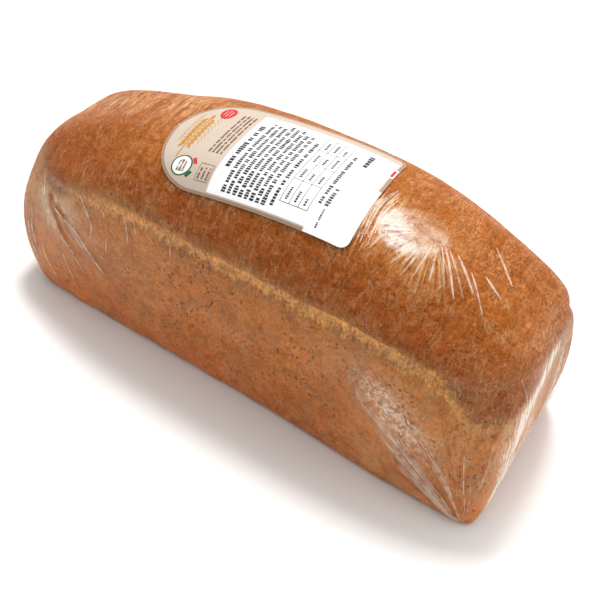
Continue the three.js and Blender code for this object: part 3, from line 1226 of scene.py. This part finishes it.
def film_white(r, lines):
    """How milky the film is: haze and patches, then the fine lines of each area. Some of the white is
    painted light: the glare patch, glints, highlight streaks and the right end's glare.
    """
    patch = r.ease(r.grain(42, detail=5, rough=0.65), 0.36, 0.66)
    mottle = r.ease(r.grain(230, detail=5, rough=0.75), 0.38, 0.58, 0.25, 1.0)
    stray = r.ease(r.grain(130, detail=2), 0.44, 0.56)
    # Painted glints: short light hairs and curls that stand in for small sparkles of reflected light
    # on the film.
    glint_hairs = r.drawn_grain((620, 170, 170), place=lines.bent_place, twist=0.6)
    glint_curls = r.grain(330, detail=3, rough=0.6, twist=1.2)
    fibre = r.larger(r.ridged(lines.gaps, 0.52, 0.035), r.ridged(lines.gaps, 0.60, 0.03))
    cloud = r.ease(r.grain(34, detail=5, rough=0.6, twist=0.4), 0.48, 0.66, 0.0, 0.06)
    side_line = r.times(r.ridged(lines.finer, 0.5, 0.05), r.ease(lines.pulled, 0.5, 0.6, 0.0, 0.12))
    torn_film = r.grain(160, detail=4, rough=0.7, place=lines.bent_place)
    torn_film = r.times(r.ease(torn_film, 0.44, 0.62), lines.crumple)
    # Painted highlight streaks along the pull, strongest on the upper left of the dome.
    highlight_line = r.times(r.ridged(lines.finer, 0.56, 0.06), 0.12)
    highlight_line = r.plus(highlight_line, r.ridged(lines.pulled, 0.5, 0.045), 0.26)
    fine_upright = r.drawn_grain((60, 1100, 45), place=lines.bent_place)
    glare_streaks = r.times(
        r.ease(lines.upright, 0.38, 0.58, 0.35, 1.0), r.ease(fine_upright, 0.38, 0.58, 0.4, 1.0)
    )
    hair = r.drawn_grain((1100, 1100, 130), detail=4, rough=0.7, place=lines.bent_place)
    white = r.times(r.read("haze"), r.plus(0.005, patch, 0.055))
    for part, amount in (
        (r.read("milk"), r.ease(patch, 0.0, 1.0, 0.24, 0.50)),
        # painted glare: mottled white milk where the highlight falls on the dome
        (r.times(r.read("glare_patch"), mottle), 0.62),
        (r.times(r.ridged(lines.star, 0.54, 0.05), lines.rays), 0.55),
        (r.times(r.ridged(lines.pulled, 0.52, 0.04), lines.beside_label), 0.8),
        (r.times(r.ridged(glint_hairs, 0.5, 0.045), stray), 0.24),
        (r.ridged(glint_curls, 0.5, 0.04), 0.10),
        (fibre, r.plus(r.times(r.read("fibres"), 0.20), lines.crumple, 0.55)),
        (r.read("side"), cloud),
        (side_line, r.read("side")),
        (torn_film, 0.18),
        (lines.net, 0.22),
        (lines.net_fine, 0.20),
        (r.times(r.ridged(lines.fan, 0.5, 0.07), lines.fan_amount), 0.15),
        (highlight_line, r.read("highlight_streaks")),
        # painted glare on the right end: upright white streaks over the veil
        (r.times(r.read("end_veil_and_glare"), glare_streaks), 1.6),
        (r.times(r.ridged(hair, 0.55, 0.07), r.read("tear")), 0.16),
    ):
        white = r.plus(white, part, amount)
    return r.times(r.smaller(white, 1.0), r.plus(1.0, r.read("slot"), -0.85))


def film_finish():
    """Clear stretch film: glossy, finely creased along the pull, milky where it lies double, with
    painted glare, painted highlights and painted shadow in its colour.
    """
    r = Recipe("stretch_film")
    lines = FilmLines(r)
    outer_face = r.outer_face()
    bent = film_relief(r, lines)
    shadow = r.times(film_shadow(r, lines), r.times(outer_face, 0.8))
    shine = r.times(r.smaller(r.fresnel(1.21, bent), MOST_SHINE), outer_face)
    shine = r.times(shine, r.read("shiny"))
    # The clear film is tinted dark where shadow is painted.
    film = r.clear_gloss(r.blend(shadow, CLEAR, CREASE_SHADOW_TINT), shine, 0.08, bent)
    # The whiter milk also paints the glare on the dome and on the right end.
    whiter = r.larger(r.read("glare_patch"), r.read("end_veil_and_glare"))
    whiter = r.larger(whiter, r.times(lines.crumple, 0.7))
    whiter = r.larger(whiter, r.times(r.read("milk"), 0.7))
    white = r.times(film_white(r, lines), outer_face)
    return r.finish(r.milky(white, film, r.blend(whiter, MILK, WHITER_MILK_AND_GLARE)))


def pleat_finish():
    """Film folded on itself: the same gloss, a little whiter."""
    r = Recipe("folded_film")
    long_grain = r.grain(260, detail=3)
    bent = r.relief(r.plus(long_grain, r.grain(900, detail=3, rough=0.6)), 0.10 * MM)
    outer_face = r.outer_face()
    film = r.clear_gloss(CLEAR, r.times(r.fresnel(1.40, bent), outer_face), 0.16, bent)
    white = r.times(r.ease(long_grain, 0.35, 0.60, 0.20, 0.56), outer_face)
    return r.finish(r.milky(white, film, FOLD_MILK))


def paper_finish(name, shade, tint_shift=0.06):
    """Printed paper: one colour with a faint fibre and mottle."""
    r = Recipe(name)
    dark = tuple(c * (1 - tint_shift) for c in shade[:3]) + (1.0,)
    fibre = r.drawn_grain((2200, 700, 900), rough=0.55)
    shader = r.node("ShaderNodeBsdfPrincipled", {
        "Base Color": r.blend(r.grain(260, detail=4), dark, shade),
        "Roughness": 0.55,
        "Specular IOR Level": 0.35,
        "Normal": r.relief(fibre, 0.02 * MM, 0.5),
    })
    return r.finish(shader.outputs[0])


def floor_finish():
    """A plain pale floor."""
    r = Recipe("pale_floor")
    base = r.blend(r.grain(9, detail=2), colour(246, 246, 245), colour(250, 250, 249))
    shader = r.node("ShaderNodeBsdfPrincipled", {
        "Base Color": base, "Roughness": 0.7, "Specular IOR Level": 0.1,
    })
    return r.finish(shader.outputs[0])


def dress(piece, finish, slot, *nodes):
    """Gives a piece its material and its body, and hides the solids that it stands for. The slot is
    not used.
    """
    piece.data.materials.clear()
    piece.data.materials.append(finish)
    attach(piece, "root")
    if nodes:
        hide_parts(*nodes)


# The camera, the light and the floor

CAMERA_AZIMUTH = math.radians(31.064)
CAMERA_ELEVATION = math.radians(45.877)
CAMERA_ROLL = math.radians(-3.942)
CAMERA_DISTANCE = 421.41 * MM
CAMERA_LENS = 52.60
SENSOR_WIDTH = 36

# Where the camera looks: a height over the rim's middle, then shifts to the right and down
AIM_HEIGHT = 46 * MM
AIM_RIGHT = 7.756 * MM
AIM_DOWN = 13.803 * MM

# The room's brightness in front of the loaf and behind it
ROOM_FRONT = (-0.7, 0.43)
ROOM_BACK = (0.8, 0.75)

# Each softbox: name, direction from the loaf, distance, width, height and brightness
SOFTBOXES = (
    ("top_light", (0.10, 0.24, 1.0), 1.5, 1.2, 1.1, 1.8),
    ("overhead_light", (-0.12, 0.30, 0.94), 1.3, 0.30, 0.24, 54.5),
    ("end_light", (0.95, 0.25, 0.12), 1.1, 0.7, 0.5, 1.3),
)
LIGHT_AIM = Vector((0, 0, 0.06))


def place_camera():
    """The viewing angle: from the near right, high up, turned a little clockwise."""
    back = Vector((
        math.sin(CAMERA_AZIMUTH) * math.cos(CAMERA_ELEVATION),
        -math.cos(CAMERA_AZIMUTH) * math.cos(CAMERA_ELEVATION),
        math.sin(CAMERA_ELEVATION),
    ))
    right = Vector((math.cos(CAMERA_AZIMUTH), math.sin(CAMERA_AZIMUTH), 0))
    up = back.cross(right)
    aim = Vector((RIM_MIDDLE, 0, AIM_HEIGHT)) + AIM_RIGHT * right - AIM_DOWN * up
    across = right * math.cos(CAMERA_ROLL) - up * math.sin(CAMERA_ROLL)
    upright = right * math.sin(CAMERA_ROLL) + up * math.cos(CAMERA_ROLL)
    camera = bpy.data.objects.new("camera", bpy.data.cameras.new("camera"))
    camera.data.sensor_width = SENSOR_WIDTH
    camera.data.lens = CAMERA_LENS
    camera.data.clip_start = 0.01
    camera.matrix_world = Matrix.Translation(aim + CAMERA_DISTANCE * back) @ Matrix((
        (across.x, upright.x, back.x, 0),
        (across.y, upright.y, back.y, 0),
        (across.z, upright.z, back.z, 0),
        (0, 0, 0, 1),
    ))
    bpy.context.scene.collection.objects.link(camera)
    bpy.context.scene.camera = camera


def add_softbox(name, direction, distance, width, height, brightness):
    """A softbox that looks at the loaf from a direction. Brightness is its face's radiance."""
    light = bpy.data.lights.new(name, "AREA")
    light.shape = "RECTANGLE"
    light.size = width
    light.size_y = height
    light.energy = brightness * math.pi * width * height
    box = bpy.data.objects.new(name, light)
    facing = Vector(direction).normalized()
    box.location = LIGHT_AIM + facing * distance
    box.rotation_euler = facing.to_track_quat("Z", "Y").to_euler()
    bpy.context.scene.collection.objects.link(box)


def light_the_set():
    """A pale room, brighter behind the loaf, and the softboxes."""
    world = bpy.data.worlds.new("pale_room")
    bpy.context.scene.world = world
    world.use_nodes = True
    tree = world.node_tree
    background = tree.nodes["Background"]
    background.inputs["Color"].default_value = (1, 0.995, 0.985, 1)
    direction = tree.nodes.new("ShaderNodeTexCoord").outputs["Generated"]
    split = tree.nodes.new("ShaderNodeSeparateXYZ")
    tree.links.new(direction, split.inputs[0])
    brighter_behind = tree.nodes.new("ShaderNodeMapRange")
    tree.links.new(split.outputs["Y"], brighter_behind.inputs["Value"])
    for end, (place, strength) in (("Min", ROOM_FRONT), ("Max", ROOM_BACK)):
        brighter_behind.inputs["From " + end].default_value = place
        brighter_behind.inputs["To " + end].default_value = strength
    tree.links.new(brighter_behind.outputs["Result"], background.inputs["Strength"])
    for softbox in SOFTBOXES:
        add_softbox(*softbox)
    bpy.context.scene.view_settings.view_transform = "Standard"


def add_floor():
    """The floor that the loaf stands on."""
    bpy.ops.object.select_all(action="DESELECT")
    bpy.ops.mesh.primitive_plane_add(size=6, location=(0, 0, -0.2 * MM))
    floor = bpy.context.active_object
    floor.name = "floor"
    floor.data.materials.append(floor_finish())


place_camera()
light_the_set()
add_floor()

plain_form = build_plain_form()
bread_crust = build_bread_crust(plain_form)
clear_film = build_clear_film(plain_form)
film_pleats = build_film_pleats(clear_film)
survey = DomeSurvey(clear_film)
label_paper = build_label_paper(survey)
bpy.data.objects.remove(plain_form)

dress(bread_crust, crust_finish(), "crust", "wrapped_loaf")
dress(clear_film, film_finish(), "clear_film", "wrapped_loaf")
dress(film_pleats, pleat_finish(), "clear_film")
dress(label_paper, paper_finish("beige_paper", colour(198, 181, 164)), "label_paper", "label")

# The print: what builds each colour of it, its material's name and shade, how much the shade
# varies, and its slot
for build, finish_name, shade, tint_shift, slot_name in (
    (build_white_field, "white_panel", colour(250, 250, 250), 0.02, "label_paper"),
    (build_white_corner, "white_corner", colour(250, 250, 250), 0.02, "label_paper"),
    (build_border, "tan_line", colour(160, 132, 110), 0.06, "label_ink"),
    (build_words, "black_ink", colour(40, 38, 38), 0.06, "label_ink"),
    (build_grain_ear, "gold_ink", colour(190, 132, 42), 0.06, "label_ink"),
    (build_red_marks, "red_ink", colour(200, 40, 45), 0.06, "label_ink"),
    (build_green_ring, "green_ink", colour(30, 95, 60), 0.06, "label_ink"),
    (build_pale_fields, "pale_ink", colour(246, 242, 234), 0.06, "label_ink"),
    (build_fine_lines, "pale_line", colour(240, 214, 208), 0.06, "label_ink"),
    (build_brown_lines, "brown_ink", colour(120, 80, 60), 0.06, "label_ink"),
):
    dress(build(survey), paper_finish(finish_name, shade, tint_shift), slot_name)
